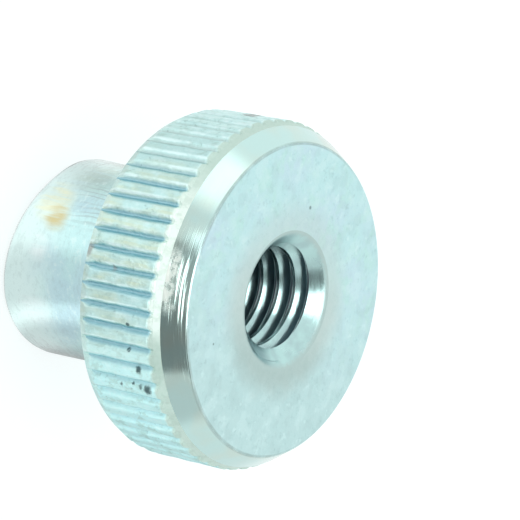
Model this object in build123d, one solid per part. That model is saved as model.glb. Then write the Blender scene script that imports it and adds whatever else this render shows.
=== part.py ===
from build123d import *
import os
from math import radians, tan

# Knurled thumb nut, turned from one steel bar: a wide head with a straight
# knurl round its rim, a slimmer collar below it, and a screw thread right
# through along the axis. Sizes are in millimetres.
#
# The nut stands on the end of its collar. The origin is the centre of that
# end face and +Z runs up the axis to the head's flat top.

# Head
head_diameter = 17.5            # over the crests of the knurl
head_height = 6.0               # from the head's back to its flat top
rim_chamfer_width = 0.70        # radial width of the cone round the flat top
rim_chamfer_angle = 33.0        # degrees between that cone and the axis
top_edge_break = 0.10           # small chamfer between cone and flat top
back_bevel_width = 0.26         # radial width of the bevel behind the knurl
back_bevel_angle = 27.0         # degrees between that bevel and the axis

# Straight knurl: grooves with sloping flanks and flat crests left between
# them. A plain band, tapered a little, lies between the crests' front ends and
# the cone.
knurl_count = 60                # grooves round the rim
knurl_depth = 0.22              # crest to root
knurl_groove_angle = 90.0       # degrees between the two flanks
knurl_root_width = 0.08         # flat bottom of a groove
crest_end_drop = 0.14           # from the crests down to the band
crest_end_length = 0.15         # slope at the crests' front ends
band_drop = 0.13                # taper of the band, down to the cone
band_length = 0.37

# Collar
total_height = 14.2             # collar end to the head's flat top
collar_diameter = 10.0
collar_edge_radius = 0.50       # round edge at the collar's end
collar_root_radius = 0.20       # fillet where the collar meets the head's back

# Threaded hole, with the wall left plain at the tapping drill's size
thread_diameter = 6.0           # nominal size of the metric coarse thread
thread_pitch = 1.0
mouth_diameter = 6.74           # countersink in the flat top
mouth_angle = 100.0             # degrees, included
end_mouth_diameter = 6.6        # countersink in the collar's end
end_mouth_angle = 90.0          # degrees, included

# Worked out from the sizes above
head_radius = head_diameter / 2
collar_radius = collar_diameter / 2
back_height = total_height - head_height
band_radius = head_radius - crest_end_drop
cone_radius = band_radius - band_drop
top_radius = cone_radius - rim_chamfer_width
cone_height = rim_chamfer_width / tan(radians(rim_chamfer_angle))
cone_base = total_height - cone_height
band_base = cone_base - band_length
crest_end = band_base - crest_end_length
back_bevel_height = back_bevel_width / tan(radians(back_bevel_angle))
bore_radius = (thread_diameter - thread_pitch) / 2
mouth_radius = mouth_diameter / 2
mouth_depth = (mouth_radius - bore_radius) / tan(radians(mouth_angle / 2))
end_mouth_radius = end_mouth_diameter / 2
end_mouth_depth = (end_mouth_radius - bore_radius) / tan(radians(end_mouth_angle / 2))


def corner_at(sketch, place):
    """The sketch's corner at that place, or the nearest one to it."""
    return sketch.vertices().sort_by_distance(Vector(*place))[0]


def turned_section():
    """Half of the nut's lengthwise section, as a lathe would leave it."""
    collar_edge = (collar_radius, 0)
    collar_root = (collar_radius, back_height)
    top_edge = (top_radius, total_height)
    corners = [
        (bore_radius, end_mouth_depth),
        (end_mouth_radius, 0),
        collar_edge,
        collar_root,
        (head_radius - back_bevel_width, back_height),
        (head_radius, back_height + back_bevel_height),
        (head_radius, crest_end),
        (band_radius, band_base),
        (cone_radius, cone_base),
        top_edge,
        (mouth_radius, total_height),
        (bore_radius, total_height - mouth_depth),
    ]
    with BuildSketch() as section:
        with BuildLine():
            Polyline(*corners, close=True)
        make_face()
        fillet(corner_at(section, collar_edge), collar_edge_radius)
        fillet(corner_at(section, collar_root), collar_root_radius)
        chamfer(corner_at(section, top_edge), top_edge_break)
    return section.sketch


def knurl_grooves():
    """Outlines of all the knurl's grooves, seen along the axis."""
    reach = knurl_depth             # how far a cutter stands outside the rim
    half_root = knurl_root_width / 2
    half_width = half_root + (knurl_depth + reach) * tan(radians(knurl_groove_angle / 2))
    outline = [
        (-knurl_depth, -half_root),
        (-knurl_depth, half_root),
        (reach, half_width),
        (reach, -half_width),
    ]
    with BuildSketch() as groove:
        with BuildLine():
            Polyline(*outline, close=True)
        make_face()
    first_groove = 180 / knurl_count    # degrees, so that a crest faces +X
    with BuildSketch(Plane.XY.offset(back_height)) as grooves:
        with PolarLocations(head_radius, knurl_count, start_angle=first_groove):
            add(groove.sketch)
    return grooves.sketch


def knurled_nut():
    """The turned blank with its knurl rolled into the rim."""
    blank = revolve(Plane.XZ * turned_section(), axis=Axis.Z)
    cutters = extrude(knurl_grooves(), amount=head_height, dir=(0, 0, 1))
    return blank - cutters


os.makedirs("parts", exist_ok=True)
nut = knurled_nut()
export_step(nut, "parts/knurled_nut.step")
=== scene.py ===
import bpy
from math import atan2, cos, degrees, hypot, pi, radians, sin, tan
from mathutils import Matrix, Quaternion, Vector


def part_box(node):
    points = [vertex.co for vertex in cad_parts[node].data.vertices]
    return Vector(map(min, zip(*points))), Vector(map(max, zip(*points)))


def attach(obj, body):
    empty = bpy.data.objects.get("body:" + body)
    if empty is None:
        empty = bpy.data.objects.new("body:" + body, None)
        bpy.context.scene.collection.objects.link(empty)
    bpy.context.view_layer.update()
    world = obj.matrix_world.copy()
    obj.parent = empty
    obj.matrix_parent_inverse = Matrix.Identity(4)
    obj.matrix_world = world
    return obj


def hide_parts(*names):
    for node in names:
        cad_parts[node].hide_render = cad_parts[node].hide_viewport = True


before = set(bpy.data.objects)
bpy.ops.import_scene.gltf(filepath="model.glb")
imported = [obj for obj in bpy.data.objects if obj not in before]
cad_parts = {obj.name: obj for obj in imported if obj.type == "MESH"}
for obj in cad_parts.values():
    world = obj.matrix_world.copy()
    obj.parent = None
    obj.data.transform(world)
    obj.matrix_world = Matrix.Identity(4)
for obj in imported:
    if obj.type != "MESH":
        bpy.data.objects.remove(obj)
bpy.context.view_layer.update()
mm = 0.001
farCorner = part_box("knurled_nut")[1]
headRadius = farCorner[0] / mm              # shapes and finishes are all laid out in mm
topHeight = farCorner[2] / mm
weldGap = 0.0005                            # points closer than this become one
trimGap = 0.00001                           # how near a flat cut a point counts as on it
print("frame loaded, head radius", round(headRadius, 3), "mm")


# Modelling helpers

def clearSelection():
    if bpy.context.object and bpy.context.object.mode != "OBJECT":
        bpy.ops.object.mode_set(mode="OBJECT")
    bpy.ops.object.select_all(action="DESELECT")


def pickOnly(piece):
    clearSelection()
    piece.select_set(True)
    bpy.context.view_layer.objects.active = piece


def roundCorner(before, corner, after, radius, steps):
    # an arc of that radius between the two straight runs that meet at the corner
    back = (Vector(before) - Vector(corner)).normalized()
    ahead = (Vector(after) - Vector(corner)).normalized()
    halfTurn = back.angle(ahead) / 2
    centre = Vector(corner) + (back + ahead).normalized() * radius / sin(halfTurn)
    start = Vector(corner) + back * radius / tan(halfTurn) - centre
    end = Vector(corner) + ahead * radius / tan(halfTurn) - centre
    return [tuple(centre + start.slerp(end, k / steps) * radius) for k in range(steps + 1)]


def softened(corners, radii, closed, steps=4):
    # the outline with each corner rounded by its radius, 0 for a sharp one
    outline = []
    count = len(corners)
    for k, (corner, radius) in enumerate(zip(corners, radii)):
        if radius == 0:
            outline.append(tuple(corner))
        else:
            outline += roundCorner(corners[k - 1], corner, corners[(k + 1) % count], radius, steps)
    return outline + outline[:1] if closed else outline


def drawOutline(name, points):
    # a chain of edges through the points, drawn from one point by extruding it
    clearSelection()
    bpy.ops.mesh.primitive_plane_add(size=1)
    piece = bpy.context.object
    piece.name = name
    piece.data.name = name
    bpy.ops.object.mode_set(mode="EDIT")
    bpy.ops.mesh.merge(type="CENTER")
    bpy.ops.transform.translate(value=points[0])
    for here, there in zip(points, points[1:]):
        step = Vector(there) - Vector(here)
        bpy.ops.mesh.extrude_vertices_move(TRANSFORM_OT_translate={"value": step})
    bpy.ops.mesh.select_all(action="SELECT")
    bpy.ops.mesh.remove_doubles(threshold=weldGap)
    return piece


def closeUp():
    # in edit mode: weld the seams and turn every face outwards
    bpy.ops.mesh.select_all(action="SELECT")
    bpy.ops.mesh.remove_doubles(threshold=weldGap)
    bpy.ops.mesh.normals_make_consistent(inside=False)
    bpy.ops.object.mode_set(mode="OBJECT")


def trimFlat(height, keepAbove):
    # in edit mode: cut everything off square at that height and cap the cut
    bpy.ops.mesh.select_all(action="SELECT")
    bpy.ops.mesh.bisect(plane_co=(0, 0, height), plane_no=(0, 0, 1), threshold=trimGap,
                        use_fill=True, clear_inner=keepAbove, clear_outer=not keepAbove)


def cutAway(piece, cutter):
    pickOnly(piece)
    cut = piece.modifiers.new("cut", "BOOLEAN")
    cut.operation = "DIFFERENCE"
    cut.solver = "EXACT"
    cut.object = cutter
    bpy.ops.object.modifier_apply(modifier=cut.name)
    bpy.data.objects.remove(cutter)


def shrinkToMetres(piece):
    # shapes are drawn with one unit for a millimetre, which keeps small cuts clean
    pickOnly(piece)
    piece.scale = (mm, mm, mm)
    bpy.ops.object.transform_apply(location=False, rotation=False, scale=True)


# The nut: a turned blank with a worn collar, then its thread and its knurl

blankSizes = {
    "segments": 360,
    "headHeight": 6.0,
    "mouthRadius": 3.37,                    # countersink in the flat top
    "mouthAngle": 100,                      # degrees, included
    "mouthLipRadius": 0.55,
    "faceEdgeRadius": 0.18,
    "coneWidth": 0.70,
    "coneHeight": 1.078,
    "coneSoftness": 0.05,                   # rounding where the cone meets the band
    "bandDrop": 0.13,                       # the plain band between cone and knurl
    "bandLength": 0.37,
    "bandSoftness": 0.08,
    "crestEndDrop": 0.14,
    "crestEndLength": 0.10,
    "crestSoftness": 0.10,
    "knurlRows": 11,                        # rings of points along the knurl
    "skinSpare": 0.03,                      # kept free for the knurl's unevenness
    "bevelWidth": 0.26,                     # bevel behind the knurl
    "bevelHeight": 0.51,
    "bevelSoftness": 0.05,
    "backSoftness": 0.07,
    "collarRadius": 5.0,
    "collarRootRadius": 0.20,
    "collarEdgeRadius": 0.50,
    "endMouthRadius": 3.3,                  # countersink in the collar's end
    "endMouthSoftness": 0.08,
    "drillRadius": 2.2,                     # inside the thread's crests
}


def turnBlank(size):
    # half of the lengthwise section, drawn once and spun round the axis
    back = topHeight - size["headHeight"]
    slope = tan(radians(size["mouthAngle"] / 2))
    mouthBottom = topHeight - (size["mouthRadius"] - size["drillRadius"]) / slope
    endBottom = size["endMouthRadius"] - size["drillRadius"]
    bandRadius = headRadius - size["crestEndDrop"]
    coneRadius = bandRadius - size["bandDrop"]
    coneBase = topHeight - size["coneHeight"]
    bandBase = coneBase - size["bandLength"]
    rim = headRadius - size["skinSpare"]
    rowCount = size["knurlRows"]
    rowGap = (bandBase - size["crestEndLength"] - back - size["bevelHeight"]) / (rowCount + 1)
    rows = [back + size["bevelHeight"] + rowGap * k for k in range(rowCount, 0, -1)]
    # each corner has its distance from the axis and its height, and a rounding radius
    section = [
        ((size["drillRadius"], mouthBottom), 0),
        ((size["mouthRadius"], topHeight), size["mouthLipRadius"]),
        ((coneRadius - size["coneWidth"], topHeight), size["faceEdgeRadius"]),
        ((coneRadius, coneBase), size["coneSoftness"]),
        ((bandRadius, bandBase), size["bandSoftness"]),
        ((rim, bandBase - size["crestEndLength"]), size["crestSoftness"]),
        *[((rim, height), 0) for height in rows],
        ((rim, back + size["bevelHeight"]), size["bevelSoftness"]),
        ((headRadius - size["bevelWidth"], back), size["backSoftness"]),
        ((size["collarRadius"], back), size["collarRootRadius"]),
        ((size["collarRadius"], 0), size["collarEdgeRadius"]),
        ((size["endMouthRadius"], 0), size["endMouthSoftness"]),
        ((size["drillRadius"], endBottom), 0),
    ]
    corners = [(x, 0, z) for (x, z), radius in section]
    radii = [radius for corner, radius in section]
    blank = drawOutline("nut", softened(corners, radii, closed=True))
    bpy.ops.mesh.spin(steps=size["segments"], angle=2 * pi, center=(0, 0, 0), axis=(0, 0, 1))
    closeUp()
    print("blank turned,", len(blank.data.polygons), "faces")
    return blank


collarWear = {
    "lean": 0.21,                           # how far the collar's end sits off centre,
    "leanSide": 241,                        # towards this side, in degrees
    "flare": 0.15,                          # how much wider it is there
    "longSide": 314,                        # degrees, where the collar is longest
    "endSlope": 0.09,                       # it gets shorter by this much a mm from there,
    "endCut": 0.40,                         # but by no more than this
    "wornSide": 227,                        # degrees, where the end's edge is worn down most
    "wornSpan": 95,                         # degrees to each side over which the wear fades
    "wornRadius": 1.35,
}


def settleCollar(blank, size):
    # the real collar is a little out of true: it leans, its end isn't quite square, and
    # the edge of that end is worn down more on one side
    back = topHeight - blankSizes["headHeight"]
    radius = blankSizes["collarRadius"]
    edge = blankSizes["collarEdgeRadius"]
    longest = radians(size["longSide"])
    lean = radians(size["leanSide"])
    for vertex in blank.data.vertices:
        x, y, z = vertex.co
        out = hypot(x, y)
        # the worn side's round edge grows from its corner
        if z < edge + weldGap and out > radius - edge - weldGap:
            away = abs((degrees(atan2(y, x)) - size["wornSide"] + 180) % 360 - 180)
            worn = 0.5 + 0.5 * cos(pi * min(1, away / size["wornSpan"]))
            grow = 1 + (size["wornRadius"] / edge - 1) * worn
            shrink = (radius - (radius - out) * grow) / out
            x, y, z = x * shrink, y * shrink, z * grow
        # lean, flare and slant grow from nothing at the head's back to all at the end
        share = min(1, max(0, 1 - z / back))
        short = max(0, radius - x * cos(longest) - y * sin(longest)) * size["endSlope"]
        grown = 1 + size["flare"] / radius * share
        vertex.co.x = x * grown + size["lean"] * cos(lean) * share
        vertex.co.y = y * grown + size["lean"] * sin(lean) * share
        vertex.co.z = z + min(short, size["endCut"]) * share
    print("collar settled")


knurlSizes = {
    "count": 60,
    "depth": 0.22,
    "flankAngle": 90,                       # degrees between a groove's two sides
    "rootWidth": 0.08,
    "rootSoftness": 0.09,
    "shoulderSoftness": 0.22,
    "flare": 0.14,                          # width over which a shoulder meets the rim
    "lift": 0.3,                            # how far the cutter stands out of the rim
    "startDepth": 6.1,                      # the cutter runs between these depths
    "endDepth": 1.42,                       # below the flat top
    "rows": 18,
    "softSteps": 3,
    "unevenness": 0.07,                     # peak to peak
    "lumpSize": 0.9,
    "unevenSkin": 0.5,                      # how deep under the rim it reaches
    "unevenBack": (5.8, 0.5),               # it starts and ends at these depths below
    "unevenFront": (1.25, 0.3),             # the top, and fades in over these lengths
}


def cutKnurl(blank, size):
    # one groove's cutter, copied round the rim
    rim = headRadius - blankSizes["skinSpare"]
    tip = headRadius - size["depth"]
    out = headRadius + size["lift"]
    halfRoot = size["rootWidth"] / 2
    halfTop = halfRoot + (rim - tip) * tan(radians(size["flankAngle"] / 2))
    halfCut = halfTop + size["flare"]
    start = topHeight - size["startDepth"]
    corners = [
        (out, -halfCut, start),
        (rim, -halfCut, start),
        (rim, -halfTop, start),
        (tip, -halfRoot, start),
        (tip, halfRoot, start),
        (rim, halfTop, start),
        (rim, halfCut, start),
        (out, halfCut, start),
    ]
    root = size["rootSoftness"]
    shoulder = size["shoulderSoftness"]
    radii = [0, 0, shoulder, root, root, shoulder, 0, 0]
    outline = softened(corners, radii, closed=True, steps=size["softSteps"])
    cutter = drawOutline("knurlCutter", outline)
    bpy.ops.mesh.edge_face_add()
    rise = (0, 0, (size["startDepth"] - size["endDepth"]) / size["rows"])
    for row in range(size["rows"]):
        bpy.ops.mesh.extrude_region_move(TRANSFORM_OT_translate={"value": rise})
    bpy.ops.mesh.select_all(action="SELECT")
    pitch = 2 * pi / size["count"]
    bpy.ops.transform.rotate(value=-pitch / 2, orient_axis="Z", center_override=(0, 0, 0))
    bpy.ops.mesh.spin(steps=size["count"] - 1, angle=2 * pi - pitch, dupli=True,
                      center=(0, 0, 0), axis=(0, 0, 1))
    closeUp()
    cutAway(blank, cutter)
    print("knurl cut,", len(blank.data.polygons), "faces")


def roughenKnurl(blank, size):
    # rolled metal is never quite even: the rim is pushed about a little
    backDepth, backFade = size["unevenBack"]
    frontDepth, frontFade = size["unevenFront"]
    rim = blank.vertex_groups.new(name="rim")
    for vertex in blank.data.vertices:
        depth = topHeight - vertex.co.z
        fromBack = min(1, max(0, (backDepth - depth) / backFade))
        fromFront = min(1, max(0, (depth - frontDepth) / frontFade))
        if hypot(vertex.co.x, vertex.co.y) > headRadius - size["unevenSkin"]:
            rim.add([vertex.index], fromBack * fromFront, "REPLACE")
    lumps = bpy.data.textures.new("lumps", "CLOUDS")
    lumps.noise_scale = size["lumpSize"]
    lumps.noise_depth = 2
    lumps.cloud_type = "COLOR"
    pickOnly(blank)
    push = blank.modifiers.new("push", "DISPLACE")
    push.texture = lumps
    push.texture_coords = "LOCAL"
    push.direction = "RGB_TO_XYZ"
    push.vertex_group = rim.name
    push.strength = size["unevenness"]
    push.mid_level = 0.5
    bpy.ops.object.modifier_apply(modifier=push.name)
    blank.vertex_groups.clear()
    print("knurl roughened")


threadSizes = {
    "pitch": 1.0,
    "crestRadius": 2.5,                     # where the thread stands furthest in
    "rootRadius": 3.05,
    "crestWidth": 0.2,
    "rootWidth": 0.15,
    "softness": 0.08,
    "start": -0.05,                         # how far the thread is shifted along the axis
    "steps": 120,
    "overrun": 1.5,                         # the tap starts this far below the nut
    "trimSpare": 0.3,                       # and is cut off square this far outside it
}


def tapThread(blank, size):
    # one turn of the thread's outline, screwed up the axis to make a solid tap
    pitch = size["pitch"]
    halfCrest = size["crestWidth"] / 2
    halfRoot = size["rootWidth"] / 2
    low = size["start"] - size["overrun"]
    corners = [
        (size["crestRadius"], 0, low),
        (size["crestRadius"], 0, low + halfCrest),
        (size["rootRadius"], 0, low + pitch / 2 - halfRoot),
        (size["rootRadius"], 0, low + pitch / 2 + halfRoot),
        (size["crestRadius"], 0, low + pitch - halfCrest),
        (size["crestRadius"], 0, low + pitch),
    ]
    softness = size["softness"]
    radii = [0, softness, softness, softness, softness, 0]
    tap = drawOutline("tap", softened(corners, radii, closed=False))
    bpy.ops.object.mode_set(mode="OBJECT")
    screw = tap.modifiers.new("screw", "SCREW")
    screw.axis = "Z"
    screw.angle = 2 * pi
    screw.screw_offset = pitch
    screw.iterations = round((topHeight + 2 * size["overrun"]) / pitch) + 1
    screw.steps = size["steps"]
    screw.render_steps = size["steps"]
    bpy.ops.object.modifier_apply(modifier=screw.name)
    bpy.ops.object.mode_set(mode="EDIT")
    bpy.ops.mesh.select_all(action="SELECT")
    bpy.ops.mesh.remove_doubles(threshold=weldGap)
    trimFlat(-size["trimSpare"], keepAbove=True)
    trimFlat(topHeight + size["trimSpare"], keepAbove=False)
    closeUp()
    cutAway(blank, tap)
    print("thread cut,", len(blank.data.polygons), "faces")


smoothAngle = 28                            # degrees, sharper edges stay sharp

nut = turnBlank(blankSizes)
settleCollar(nut, collarWear)
tapThread(nut, threadSizes)
cutKnurl(nut, knurlSizes)
roughenKnurl(nut, knurlSizes)
shrinkToMetres(nut)
bpy.ops.object.shade_smooth_by_angle(angle=radians(smoothAngle))
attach(nut, "root")
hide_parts("knurled_nut")


# Shader building: a wire is one output socket, a board is one node tree

class Wire:
    def __init__(self, board, socket):
        self.board = board
        self.socket = socket

    def __add__(self, other):
        return self.board.math("ADD", self, other)

    def __radd__(self, other):
        return self.board.math("ADD", other, self)

    def __sub__(self, other):
        return self.board.math("SUBTRACT", self, other)

    def __rsub__(self, other):
        return self.board.math("SUBTRACT", other, self)

    def __mul__(self, other):
        return self.board.math("MULTIPLY", self, other)

    def __rmul__(self, other):
        return self.board.math("MULTIPLY", other, self)

    def __truediv__(self, other):
        return self.board.math("DIVIDE", self, other)

    def __pow__(self, other):
        return self.board.math("POWER", self, other)

    def __abs__(self):
        return self.board.math("ABSOLUTE", self)


class Board:
    def __init__(self, owner):
        owner.use_nodes = True
        self.tree = owner.node_tree

    def add(self, kind, settings, inputs, output=0):
        # a new node: its settings come first, then a value or a wire for each socket
        node = self.tree.nodes.new(kind)
        for name, value in settings.items():
            setattr(node, name, value)
        for name, value in inputs.items():
            self.feed(node.inputs[name], value)
        return Wire(self, node.outputs[output])

    def feed(self, socket, value):
        if isinstance(value, Wire):
            self.tree.links.new(value.socket, socket)
        else:
            socket.default_value = value

    def math(self, operation, *values):
        return self.add("ShaderNodeMath", {"operation": operation}, dict(enumerate(values)))

    def vector(self, operation, *values, output=0):
        return self.add("ShaderNodeVectorMath", {"operation": operation}, dict(enumerate(values)), output)

    def ray(self, kind):
        return self.add("ShaderNodeLightPath", {}, {}, output=kind)

    def place(self):
        # position on the object, in mm
        raw = self.add("ShaderNodeTexCoord", {}, {}, output="Object")
        return self.vector("MULTIPLY", raw, (1 / mm, 1 / mm, 1 / mm))

    def split(self, vector):
        return [self.add("ShaderNodeSeparateXYZ", {}, {0: vector}, output=axis) for axis in range(3)]

    def join(self, x, y, z):
        return self.add("ShaderNodeCombineXYZ", {}, {0: x, 1: y, 2: z})

    def away(self, where, spot):
        return self.vector("DISTANCE", where, spot, output="Value")

    def axisDistance(self, x, y):
        return (x * x + y * y) ** 0.5

    def turnsRound(self, x, y):
        return self.math("ARCTAN2", y, x) / (2 * pi)

    def noise(self, where, lumps, detail=2, roughness=0.5):
        # lumps is about how many there are in a mm
        return self.add("ShaderNodeTexNoise", {"noise_dimensions": "3D"},
                        {"Vector": where, "Scale": lumps, "Detail": detail, "Roughness": roughness})

    def stretchedNoise(self, where, lumps, detail=2, roughness=0.5):
        # the same with a count for each axis
        return self.noise(self.vector("MULTIPLY", where, lumps), 1, detail, roughness)

    def step(self, value, start, end, low=0.0, high=1.0):
        # eases from low to high while the value goes from start to end
        return self.add("ShaderNodeMapRange", {"interpolation_type": "SMOOTHSTEP"},
                        {0: value, 1: start, 2: end, 3: low, 4: high})

    def window(self, value, start, full, last, end):
        # 1 from full to last, fading to 0 at start and at end
        return self.step(value, start, full) * self.step(value, end, last)

    def blend(self, factor, first, second):
        return self.add("ShaderNodeMix", {"data_type": "RGBA"},
                        {0: factor, 6: first, 7: second}, output=2)

    def spots(self, where, marks):
        # 1 inside any of the marks, each with a place and a radius in mm, 0 elsewhere
        inside = 0
        for spot, radius in marks:
            inside = inside + self.step(self.away(where, spot), radius * 1.25, radius * 0.5)
        return inside

    def bump(self, height, depth, under=None):
        # depth in mm for a height of 1
        inputs = {"Height": height, "Strength": 1.0, "Distance": depth * mm}
        if under:
            inputs["Normal"] = under
        return self.add("ShaderNodeBump", {}, inputs)


def shade(name, makeSurface):
    # a metal whose colour, roughness and normal come from makeSurface
    material = bpy.data.materials.new(name)
    board = Board(material)
    shader = board.tree.nodes["Principled BSDF"]
    shader.inputs["Metallic"].default_value = 1
    for socket, value in makeSurface(board).items():
        board.feed(shader.inputs[socket], value)
    return material


def tone(red, green, grooveShade):
    return (red, green, grooveShade, 1)


def onCylinder(radius, azimuth, height):
    turn = radians(azimuth)
    return (radius * cos(turn), radius * sin(turn), height)


# Finishes, one for each kind of surface on the nut. Under a name that ends in X, Y, Z,
# Radius or Depth, two numbers are where a thing starts and where it is at its full, and
# four are where it starts, is full, is still full and ends.

faceFinish = {
    "pale": tone(0.59, 0.85, 0.86),
    "bluish": tone(0.61, 0.81, 0.87),
    "mint": tone(0.57, 0.85, 0.81),
    "warm": tone(0.57, 0.79, 0.79),
    "warmX": (0, 7),
    "light": tone(0.70, 0.92, 0.92),
    "pit": tone(0.20, 0.30, 0.30),
    "halo": tone(0.59, 0.73, 0.71),         # painted shade: a greyish ring round the mouth,
    "haloDark": tone(0.49, 0.64, 0.62),     # darker towards +X
    "haloDarkX": (0.5, 3.5),
    "haloRadius": (5.9, 4.2),
    "haloX": (-3.2, 0.5),
    "dull": tone(0.36, 0.48, 0.46),         # thin line along the face's edge
    "edgeRadius": 7.75,
    "edgeWidth": 0.11,
    "edgeFarY": (4.5, 1),
    "lineGapX": (-1.9, -0.7, 2.0, 3.4),
    "specks": [((-4.7, 0.2, topHeight), 0.10), ((2.9, -5.1, topHeight), 0.06)],
}
wornY = (-3, -5)                            # the -Y side took most of the wear


def edgeDullness(board, place, x, y):
    # the rounded edge of the face is darker, but not along a stretch of the -Y side
    width = faceFinish["edgeWidth"]
    away = abs(board.axisDistance(x, y) - faceFinish["edgeRadius"])
    line = board.step(away, width, width * 0.4)
    patchy = board.step(board.noise(place, 1.1, 3, 0.6), 0.34, 0.60, 0.45, 1)
    lineGap = board.window(x, *faceFinish["lineGapX"]) * board.step(y, *wornY)
    return line * patchy * (1 - lineGap) * board.step(y, *faceFinish["edgeFarY"], 0, 0.6)


def frostedFace(board):
    place = board.place()
    x, y, z = board.split(place)
    cloud = board.noise(place, 0.45, 3, 0.6)
    drift = board.noise(place, 0.9, 2, 0.6)
    blotch = board.noise(place, 1.0, 2, 0.55)
    flecks = board.noise(place, 1.9, 2, 0.5)
    speckle = board.noise(place, 3.2, 3, 0.65)
    # broad changes of colour
    colour = board.blend(board.step(cloud, 0.36, 0.66), faceFinish["pale"], faceFinish["bluish"])
    colour = board.blend(board.step(drift, 0.44, 0.70, 0, 0.8), colour, faceFinish["mint"])
    colour = board.blend(board.step(x + drift * 4, *faceFinish["warmX"]), colour, faceFinish["warm"])
    # blotches, light flecks and fine pits
    colour = board.blend(board.step(blotch, 0.52, 0.64, 0, 0.32), colour, faceFinish["light"])
    colour = board.blend(board.step(blotch, 0.47, 0.34, 0, 0.08), colour, faceFinish["pit"])
    colour = board.blend(board.step(flecks, 0.60, 0.72, 0, 0.5), colour, faceFinish["light"])
    colour = board.blend(board.step(speckle, 0.56, 0.74, 0, 0.14), colour, faceFinish["pit"])
    # painted shade in a ring round the mouth
    ring = board.blend(board.step(x, *faceFinish["haloDarkX"]), faceFinish["halo"], faceFinish["haloDark"])
    nearMouth = board.step(board.axisDistance(x, y) + drift, *faceFinish["haloRadius"])
    colour = board.blend(nearMouth * board.step(x, *faceFinish["haloX"], 0.55, 1), colour, ring)
    colour = board.blend(edgeDullness(board, place, x, y), colour, faceFinish["dull"])
    colour = board.blend(board.spots(place, faceFinish["specks"]) * 0.8, colour, faceFinish["pit"])
    frost = board.noise(place, 9, 3, 0.6)
    peel = board.noise(place, 1.6, 2, 0.5)
    return {
        "Base Color": colour,
        "Roughness": board.step(speckle, 0.3, 0.7, 0.48, 0.60),
        "Normal": board.bump(frost, 0.02, board.bump(peel, 0.05)),
    }


coneFinish = {
    "metal": tone(0.585, 0.83, 0.80),
    "worn": tone(0.62, 0.80, 0.74),
    "deepX": (-1.0, -0.2, 1.3, 3.0),        # where the turning marks are deepest
    "chalk": tone(0.80, 0.86, 0.80),        # pale deposit on the cone's outer part
    "chalkX": (-1.4, -0.4, 1.0, 2.4),
    "chalkZ": (14.0, 13.65),
}


def turnedCone(board):
    # rings left by the turning tool: noise that changes along the cone, hardly round it
    place = board.place()
    x, y, z = board.split(place)
    broad = board.stretchedNoise(place, (0.16, 0.16, 3.6), 2, 0.5)
    fine = board.stretchedNoise(place, (0.4, 0.4, 22), 2, 0.6)
    cloud = board.noise(place, 0.5, 2, 0.5)
    drift = board.noise(place, 2.2, 3, 0.6)
    colour = board.blend(board.step(cloud, 0.4, 0.65), coneFinish["metal"], coneFinish["worn"])
    colour = board.blend(edgeDullness(board, place, x, y), colour, faceFinish["dull"])
    worn = board.step(y, *wornY)
    chalk = board.step(z + drift * 0.7, *coneFinish["chalkZ"]) * board.step(drift, 0.64, 0.46, 0.3, 1)
    chalk = chalk * board.window(x, *coneFinish["chalkX"]) * worn
    deep = board.window(x, *coneFinish["deepX"]) * worn
    marks = (broad - 0.5) * (0.04 + 0.96 * deep)
    return {
        "Base Color": board.blend(chalk, colour, coneFinish["chalk"]),
        "Metallic": 1 - chalk * 0.8,
        "Roughness": board.step(fine, 0.3, 0.7, 0.09, 0.16) + chalk * 0.3,
        "Normal": board.bump(fine, 0.005, board.bump(marks, 0.125)),
    }


knurlFinish = {
    "metal": tone(0.58, 0.86, 0.85),
    "litSide": tone(0.63, 0.96, 0.97),          # painted light: brighter towards +X
    "litSideX": (3, 6),
    "cream": tone(0.66, 0.80, 0.64),        # yellowish clouds
    "creamX": (5.0, 1.0),
    "creamFarX": (-6.5, -3),
    "shade": tone(0.42, 0.62, 0.57),
    "bright": tone(0.78, 1.0, 1.0),         # pale blotches, and a painted highlight along one side of each crest
    "crestHighlight": (0.12, 0.26, 0.30, 0.36),     # where the painted crest highlight lies, in turns from one crest to the next
    "plain": tone(0.56, 0.71, 0.64),        # the band in front, chalky over two stretches
    "bandDepth": (1.75, 1.55),              # below the flat top
    "chalk": tone(0.86, 0.98, 0.92),
    "chalkX": (-5.5, -2.5, 2.5, 3.7),
    "chalkFarX": (4.4, 5.6),
    "backDepth": (5.40, 5.60),              # the bevel behind is a little plainer too
    "groove": (0.30, 0.46, 0.56, 0.88),     # where the painted groove shade lies, also in turns from crest to crest,
    "narrowX": (1.5, 5.0),                  # narrower towards +X
    "narrowDepth": (5.2, 5.9),              # and at the back
    "grooveShade": tone(0.32, 0.57, 0.64),         # the painted groove shade's colour,
    "dull": tone(0.50, 0.68, 0.66),         # duller towards -X
    "dullX": (-3.5, -6.0),
    "fadedX": (3.5, 6.5),                   # and paler towards +X
    "dirt": tone(0.03, 0.07, 0.08),
    "soot": tone(0.34, 0.35, 0.34),
    # strength, tone, and the marks: azimuth in degrees, depth and radius
    "marks": [
        (0.7, "soot", [(268.5, 5.85, 0.35), (187, 3.55, 0.45), (192, 3.2, 0.48), (273, 4.1, 0.16)]),
        (0.85, "dirt", [
            (297.7, 2.9, 0.14),
            (304.3, 2.45, 0.18),
            (311.1, 2.1, 0.26),
            (310.6, 2.5, 0.14),
            (309.6, 3.0, 0.10),
            (289.6, 2.85, 0.12),
            (310.7, 3.7, 0.12),
            (304, 1.1, 0.10),
            (327, 4.1, 0.09),
            (273, 4.2, 0.09),
        ]),
    ],
    "markInset": 0.1,                       # they are centred this far under the crests
    "markRaggedness": 0.3,
}


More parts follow.
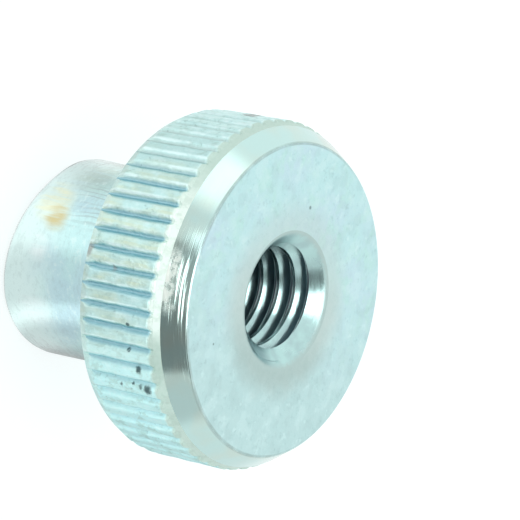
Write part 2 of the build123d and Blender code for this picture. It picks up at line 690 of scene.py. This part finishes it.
def rolledKnurl(board):
    place = board.place()
    x, y, z = board.split(place)
    depth = topHeight - z
    patch = board.stretchedNoise(place, (1.3, 1.3, 0.8), 3, 0.65)
    tint = board.stretchedNoise(place, (1.0, 1.0, 0.6), 2, 0.5)
    blotch = board.stretchedNoise(place, (2.2, 2.2, 1.5), 3, 0.7)
    grain = board.noise(place, 5, 3, 0.6)
    # 0 on the middle of a crest and 0.5 in the middle of a groove
    turns = board.turnsRound(x, y) + (patch - 0.5) * 0.002
    phase = board.math("FRACT", turns * knurlSizes["count"])
    front = board.step(depth, *knurlFinish["bandDepth"])
    # the crests
    cream = board.step(tint, 0.34, 0.64, 0, 0.9) * board.step(phase, 0.10, 0.34, 1, 0.6)
    cream = cream * board.step(x, *knurlFinish["creamX"], 0.15, 1)
    cream = cream * board.step(x, *knurlFinish["creamFarX"], 0.15, 1)
    # painted highlight along one side of each crest, broken up by the patch noise
    crestHighlight = board.window(phase, *knurlFinish["crestHighlight"]) * board.step(patch, 0.62, 0.42, 0, 0.8)
    # the metal is painted lighter towards +X
    colour = board.blend(board.step(x, *knurlFinish["litSideX"]), knurlFinish["metal"], knurlFinish["litSide"])
    colour = board.blend(cream, colour, knurlFinish["cream"])
    colour = board.blend(board.step(blotch, 0.50, 0.66, 0, 0.45), colour, knurlFinish["shade"])
    colour = board.blend(board.step(blotch, 0.46, 0.34, 0, 0.35), colour, knurlFinish["bright"])
    colour = board.blend(crestHighlight, colour, knurlFinish["bright"])
    # the band in front and the bevel behind
    chalk = board.window(x, *knurlFinish["chalkX"]) + board.step(x, *knurlFinish["chalkFarX"], 0, 0.45)
    chalk = chalk * board.step(blotch, 0.60, 0.46, 0.65, 1)
    band = board.blend(chalk, knurlFinish["plain"], knurlFinish["chalk"])
    colour = board.blend(front * 0.9, colour, band)
    colour = board.blend(board.step(depth, *knurlFinish["backDepth"], 0, 0.3), colour, knurlFinish["plain"])
    # painted shade in the grooves
    narrow = board.step(x, *knurlFinish["narrowX"], 0, 0.08)
    narrow = narrow + board.step(depth, *knurlFinish["narrowDepth"], 0, 0.14)
    start, full, last, end = knurlFinish["groove"]
    grooveShadeMask = board.window(phase, start + narrow, full, last, end - narrow * 2)
    grooveShadeMask = grooveShadeMask * (1 - front) * board.step(x, *knurlFinish["fadedX"], 1, 0.3)
    groove = board.blend(board.step(x, *knurlFinish["dullX"]), knurlFinish["grooveShade"], knurlFinish["dull"])
    colour = board.blend(grooveShadeMask, colour, groove)
    # dirt
    darkening = board.step(grain, 0.56, 0.70) * board.step(patch, 0.48, 0.62)
    colour = board.blend(darkening * (1 - front) * 0.25, colour, knurlFinish["dirt"])
    ragged = board.join(grain - 0.5, patch - 0.5, grain - 0.5)
    raggedness = knurlFinish["markRaggedness"]
    shaken = board.vector("ADD", place, board.vector("MULTIPLY", ragged, (raggedness,) * 3))
    rim = headRadius - knurlFinish["markInset"]
    for strength, paint, marks in knurlFinish["marks"]:
        spots = [(onCylinder(rim, azimuth, topHeight - down), size) for azimuth, down, size in marks]
        colour = board.blend(board.spots(shaken, spots) * strength, colour, knurlFinish[paint])
    matt = front * 0.2 + board.step(x, *knurlFinish["litSideX"]) * 0.2
    return {
        "Base Color": colour,
        "Roughness": board.step(grain, 0.3, 0.7, 0.28, 0.42) + matt,
        "Normal": board.bump(grain * (1 - front), 0.03, board.bump(patch * (1 - front), 0.07)),
    }


collarFinish = {
    "metal": tone(0.60, 0.90, 0.90),
    "bluish": tone(0.57, 0.82, 0.88),
    "moss": tone(0.52, 0.68, 0.58),
    "mossX": (-2.2, -4.4),
    "mossZ": (6, 3),
    # pale specks, and painted light towards the collar's end
    "light": tone(0.77, 0.98, 0.96),
    "litEndZ": (4.9, 1.9),
    "rim": tone(0.42, 0.52, 0.52),          # thin dark line at the end, also in the scratches
    "rimRadius": (5.08, 4.90),
    "rimZ": (2, 1),
    "lineCount": 110,                       # fine lines along the collar, counted all round
    "lineWander": 2.5,                      # how far they stray, in lines,
    "wanderCount": 40,                      # in this many waves round the collar
    "linesX": (-4.1, -3.2, -1.7, -0.9),
    "linesZ": (2.8, 4.2),
    "stain": tone(0.68, 0.62, 0.34),
    "faded": tone(0.88, 0.92, 0.66),
    "glint": tone(0.86, 1.0, 1.0),
    # tone, azimuth in degrees, height above the collar's end, radius, strength
    "marks": [
        ("faded", 243, 2.35, 1.1, 0.95),
        ("stain", 252, 2.95, 0.76, 1.0),
        ("glint", 271, 2.4, 0.65, 0.9),
        ("glint", 308, 2.3, 1.1, 0.5),
    ],
}


def turnedCollar(board):
    place = board.place()
    x, y, z = board.split(place)
    cloud = board.noise(place, 0.5, 2, 0.5)
    rings = board.stretchedNoise(place, (0.3, 0.3, 9), 2, 0.55)
    streaks = board.stretchedNoise(place, (2.4, 2.4, 0.3), 3, 0.6)
    grain = board.stretchedNoise(place, (2.2, 2.2, 3.5), 3, 0.65)
    colour = board.blend(board.step(cloud, 0.40, 0.65), collarFinish["metal"], collarFinish["bluish"])
    moss = board.step(x, *collarFinish["mossX"], 0, 0.9) * board.step(z, *collarFinish["mossZ"])
    moss = moss * board.step(streaks, 0.3, 0.6, 0.4, 1)
    colour = board.blend(moss, colour, collarFinish["moss"])
    # painted light: the collar is lighter towards its end
    colour = board.blend(board.step(z + cloud, *collarFinish["litEndZ"]), colour, collarFinish["light"])
    # fine lines, wavy and broken, close to the head
    turns = board.turnsRound(x, y) + streaks * 0.004
    wander = board.noise(board.join(turns * collarFinish["wanderCount"], 0, z * 0.35), 1, 2, 0.6)
    across = turns * collarFinish["lineCount"] + wander * collarFinish["lineWander"]
    wave = board.math("PINGPONG", across, 0.5)
    lines = board.step(wave, 0.20, 0.45) * board.step(wander, 0.36, 0.58, 0.3, 1)
    lines = lines * board.window(x, *collarFinish["linesX"]) * board.step(z, *collarFinish["linesZ"])
    colour = board.blend(lines * 0.5, colour, collarFinish["rim"])
    colour = board.blend(board.step(grain, 0.48, 0.68, 0, 0.20), colour, collarFinish["rim"])
    colour = board.blend(board.step(grain, 0.46, 0.32, 0, 0.50), colour, collarFinish["light"])
    # the end's rim, round the centre that leans away from the axis
    endX, endY = onCylinder(collarWear["lean"], collarWear["leanSide"], 0)[:2]
    rim = board.step(board.axisDistance(x - endX, y - endY), *collarFinish["rimRadius"], 0, 0.4)
    colour = board.blend(rim * board.step(z, *collarFinish["rimZ"]), colour, collarFinish["rim"])
    shaken = board.vector("ADD", place, board.join(streaks - 0.5, 0, streaks - 0.5))
    for paint, azimuth, height, size, strength in collarFinish["marks"]:
        away = board.away(shaken, onCylinder(blankSizes["collarRadius"], azimuth, height))
        patch = board.step(away, size * 1.3, size * 0.4) * board.step(streaks, 0.30, 0.60, 0.3, 1)
        colour = board.blend(patch * strength, colour, collarFinish[paint])
    return {
        "Base Color": colour,
        "Roughness": board.step(streaks, 0.3, 0.7, 0.11, 0.18),
        "Normal": board.bump(streaks, 0.01, board.bump(rings, 0.02)),
    }


mouthFinish = {
    "metal": tone(0.44, 0.64, 0.64),
    "pale": tone(0.52, 0.78, 0.76),
    "lipRadius": (3.12, 3.42),              # the lip has the face's roughness, painted with the halo's darker shade
    "shade": tone(0.24, 0.38, 0.40),        # two dark patches, on the -Y side
    "rightX": (1.4, 2.6),
    "rightY": (0.6, -0.6),
    "leftX": (-1.8, -2.8),
    "leftY": (0.4, -0.6),
    "roughX": (2.0, 2.6),
}


def countersunkMouth(board):
    place = board.place()
    x, y, z = board.split(place)
    rings = board.stretchedNoise(place, (0.9, 0.9, 22), 3, 0.6)
    cloud = board.noise(place, 1.1, 2, 0.5)
    grain = board.noise(place, 4, 3, 0.7)
    right = board.step(x, *mouthFinish["rightX"]) * board.step(y, *mouthFinish["rightY"])
    left = board.step(x, *mouthFinish["leftX"]) * board.step(y, *mouthFinish["leftY"])
    colour = board.blend(board.step(cloud, 0.35, 0.65), mouthFinish["metal"], mouthFinish["pale"])
    colour = board.blend(right * 0.8 + left * 0.4, colour, mouthFinish["shade"])
    lip = board.step(board.axisDistance(x, y) + (grain - 0.5) * 0.35, *mouthFinish["lipRadius"])
    roughness = board.step(rings, 0.3, 0.7, 0.14, 0.22)
    ends = board.step(abs(x), *mouthFinish["roughX"])
    return {
        # painted shade: the lip takes the halo's darker tone
        "Base Color": board.blend(lip, colour, faceFinish["haloDark"]),
        "Roughness": roughness + lip * (0.5 - roughness) + ends * (1 - lip) * 0.15,
        "Normal": board.bump(rings, 0.004),
    }


threadFinish = {
    "metal": tone(0.68, 0.80, 0.82),
    "dull": tone(0.33, 0.42, 0.43),         # painted shade, deeper in the bore
    "dullZ": (13.4, 12.2),
    "darkening": tone(0.25, 0.29, 0.35),        # painted shade that fills the grooves
    "paintedHighlight": tone(1.0, 1.0, 1.0),            # but for a painted highlight, where the flank is white and free of that shade
    "highlightX": (-1.2, -0.6, 0.2, 0.9),
    "highlightY": (0, 1),
    "lighterTopZ": (12.9, 13.3),
    "crestEnd": 0.12,                       # in turns from one crest to the next
    "highlightShare": 0.18,
    "nextCrest": (0.96, 0.88),
}


def cutThread(board):
    place = board.place()
    x, y, z = board.split(place)
    grain = board.noise(place, 2, 2, 0.5)
    # painted shade: darker deeper in the bore
    colour = board.blend(board.step(z + grain, *threadFinish["dullZ"]), threadFinish["metal"],
                         threadFinish["dull"])
    # 0 on the thread's crest, rising with the height up to the next one
    along = (z - threadSizes["start"] + threadSizes["overrun"]) / threadSizes["pitch"]
    phase = board.math("FRACT", along - board.turnsRound(x, y))
    # painted highlight: white metal on the flank there, and the painted shade starts further from the crest
    # there and near the top
    paintedHighlight = board.window(x, *threadFinish["highlightX"]) * board.step(y, *threadFinish["highlightY"])
    colour = board.blend(paintedHighlight, colour, threadFinish["paintedHighlight"])
    highlightOrTop = board.math("MAXIMUM", paintedHighlight, board.step(z, *threadFinish["lighterTopZ"]))
    grimeStart = threadFinish["crestEnd"] + highlightOrTop * threadFinish["highlightShare"]
    # painted shade in the thread's grooves
    deep = board.step(phase, grimeStart, grimeStart + 0.08) * board.step(phase, *threadFinish["nextCrest"])
    return {
        "Base Color": board.blend(deep, colour, threadFinish["darkening"]),
        "Roughness": board.step(grain, 0.3, 0.7, 0.14, 0.22) + deep * 0.35,
        "Normal": board.bump(grain, 0.004),
    }


# Which faces wear which finish, by their distance from the axis, height and tilt

zones = {
    "lipReach": 0.13,                       # how far the mouth's finish goes past its radius
    "mouthSlack": 0.03,
    "mouthTilt": 0.55,                      # least upward tilt of a face in the mouth
    "endSlack": 0.1,
    "faceSlack": 0.03,
    "coneSlack": 0.018,
    "backSlack": 0.02,
}


def finishFor(radius, height, tilt):
    depth = topHeight - height
    mouthLine = blankSizes["mouthRadius"] - depth * tan(radians(blankSizes["mouthAngle"] / 2))
    inside = radius < blankSizes["mouthRadius"] + zones["lipReach"]
    if inside and radius > mouthLine - zones["mouthSlack"] and tilt > zones["mouthTilt"]:
        return "mouth"
    if inside and height > zones["endSlack"]:
        return "thread"
    if depth < zones["faceSlack"]:
        return "face"
    if depth < blankSizes["coneHeight"] - zones["coneSlack"]:
        return "cone"
    if depth < blankSizes["headHeight"] - zones["backSlack"]:
        return "knurl"
    return "collar"


finishes = {
    "face": shade("frostedFace", frostedFace),
    "cone": shade("turnedCone", turnedCone),
    "knurl": shade("rolledKnurl", rolledKnurl),
    "collar": shade("turnedCollar", turnedCollar),
    "mouth": shade("countersunkMouth", countersunkMouth),
    "thread": shade("cutThread", cutThread),
}
order = list(finishes)
nut.data.materials.clear()
for material in finishes.values():
    nut.data.materials.append(material)
for face in nut.data.polygons:
    x, y, z = face.center / mm
    face.material_index = order.index(finishFor(hypot(x, y), z, face.normal.z))
print("finishes made")


# Floor, studio light and camera

studio = {
    "floorColour": tone(0.80, 0.98, 0.98),
    "floorRoughness": 0.9,
    "floorGlow": 0.62,                      # share of plain white that the camera sees
    "floorWhite": 1.2,
    "middle": 7,                            # mm, height of the nut's middle
    "plain": 1.0,                           # how bright the studio is between the panels
    # panels round the nut: azimuth, elevation, half width, half height and soft edge
    # in degrees, and how bright each is; a later panel covers an earlier one
    "panels": [
        (-8, 18, 18, 16, 6, 0.66),
        (34, 8, 24, 22, 8, 0.88),
        (12, 41, 14, 10, 6, 0.80),
        (-122, 27, 13, 18, 4, 0.83),
        (-160, 18, 16, 14, 8, 1.50),
        (-75, 0, 36, 9, 2, 2.00),
        (-68, 52, 42, 8, 2, 1.80),
        (-68, 25, 38, 17, 2, 0.235),
        (-89, 25, 17, 17, 4, 0.42),
        (0, 88, 14, 14, 6, 0.10),
        (-77, 70, 14, 16, 3, 3.2),
        (-22, 54, 14, 14, 5, 0.26),
        (-72, -38, 24, 30, 8, 0.78),
        (-37, -38, 6, 30, 5, 1.08),
        (-6, -38, 16, 30, 6, 0.70),
        (24, -38, 14, 30, 6, 0.54),
        (-113, -38, 17, 30, 7, 1.06),
        (-143, -38, 12, 30, 5, 0.94),
        (-165, -38, 10, 30, 8, 0.80),
    ],
}


def lightLevel(board, way):
    # how bright the studio is, seen from the nut in that direction
    level = studio["plain"]
    for azimuth, elevation, halfWidth, halfHeight, edge, panelLevel in studio["panels"]:
        turn = radians(azimuth)
        rise = radians(elevation)
        ahead = (cos(rise) * cos(turn), cos(rise) * sin(turn), sin(rise))
        side = (-sin(turn), cos(turn), 0)
        over = (-sin(rise) * cos(turn), -sin(rise) * sin(turn), cos(rise))
        front, across, along = [board.vector("DOT_PRODUCT", way, axis, output="Value")
                                for axis in (ahead, side, over)]
        sideTurn = board.math("ARCTAN2", abs(across), front)
        overTurn = board.math("ARCTAN2", abs(along), front)
        inWidth = board.step(sideTurn, radians(halfWidth + edge), radians(halfWidth - edge))
        inHeight = board.step(overTurn, radians(halfHeight + edge), radians(halfHeight - edge))
        level = level + inWidth * inHeight * (panelLevel - level)
    return level


def layFloor():
    # pale paper that glows a little for the camera and keeps the nut's shadow; in the
    # nut's own reflections it shows the studio's lower panels
    clearSelection()
    bpy.ops.mesh.primitive_plane_add(size=2)
    floor = bpy.context.object
    floor.name = "floor"
    paper = bpy.data.materials.new("floorPaper")
    board = Board(paper)
    shader = board.tree.nodes["Principled BSDF"]
    shader.inputs["Base Color"].default_value = studio["floorColour"]
    shader.inputs["Roughness"].default_value = studio["floorRoughness"]
    shader.inputs["Specular IOR Level"].default_value = 0
    white = board.add("ShaderNodeEmission", {}, {"Strength": studio["floorWhite"]})
    glow = board.ray("Is Camera Ray") * studio["floorGlow"]
    seen = board.add("ShaderNodeMixShader", {}, {0: glow, 1: Wire(board, shader.outputs[0]), 2: white})
    way = board.vector("NORMALIZE", board.vector("SUBTRACT", board.place(), (0, 0, studio["middle"])))
    mirror = board.add("ShaderNodeEmission", {}, {"Strength": lightLevel(board, way)})
    both = board.add("ShaderNodeMixShader", {}, {0: board.ray("Is Glossy Ray"), 1: seen, 2: mirror})
    board.feed(board.tree.nodes["Material Output"].inputs[0], both)
    paper.cycles.emission_sampling = "NONE"
    floor.data.materials.append(paper)


def hangDome():
    # the studio's panels all round, with plain white behind the nut for the camera
    world = bpy.context.scene.world or bpy.data.worlds.new("studio")
    bpy.context.scene.world = world
    board = Board(world)
    level = lightLevel(board, board.add("ShaderNodeTexCoord", {}, {}, output="Generated"))
    background = board.tree.nodes["Background"]
    background.inputs["Color"].default_value = tone(1, 1, 1)
    board.feed(background.inputs["Strength"], level + board.ray("Is Camera Ray") * (1 - level))


layFloor()
hangDome()
print("floor and dome ready")

cameraSetup = {
    "azimuth": 2.2,                         # degrees round the nut from -Y
    "distance": 115.946,                    # mm out from the axis
    "height": 95.859,
    "aim": (-1.688, -1.001, 12.848),        # mm, along and across the way the camera faces
    "roll": 100.963,                        # degrees
    "lens": 201.21,                         # mm on a 36 mm sensor
    "clipStart": 1,                         # mm
}


def placeCamera(setup):
    turn = radians(setup["azimuth"])
    turned = Quaternion((0, 0, 1), turn)
    place = turned @ Vector((0, -setup["distance"], setup["height"]))
    aim = turned @ Vector(setup["aim"])
    bpy.ops.object.camera_add(location=place * mm)
    camera = bpy.context.object
    camera.data.lens = setup["lens"]
    camera.data.clip_start = setup["clipStart"] * mm
    upright = (aim - place).to_track_quat("-Z", "Y")
    rolled = upright @ Quaternion((0, 0, 1), radians(setup["roll"]))
    camera.rotation_euler = rolled.to_euler()
    bpy.context.scene.camera = camera
    print("camera placed")


placeCamera(cameraSetup)
bpy.context.scene.view_settings.view_transform = "Standard"
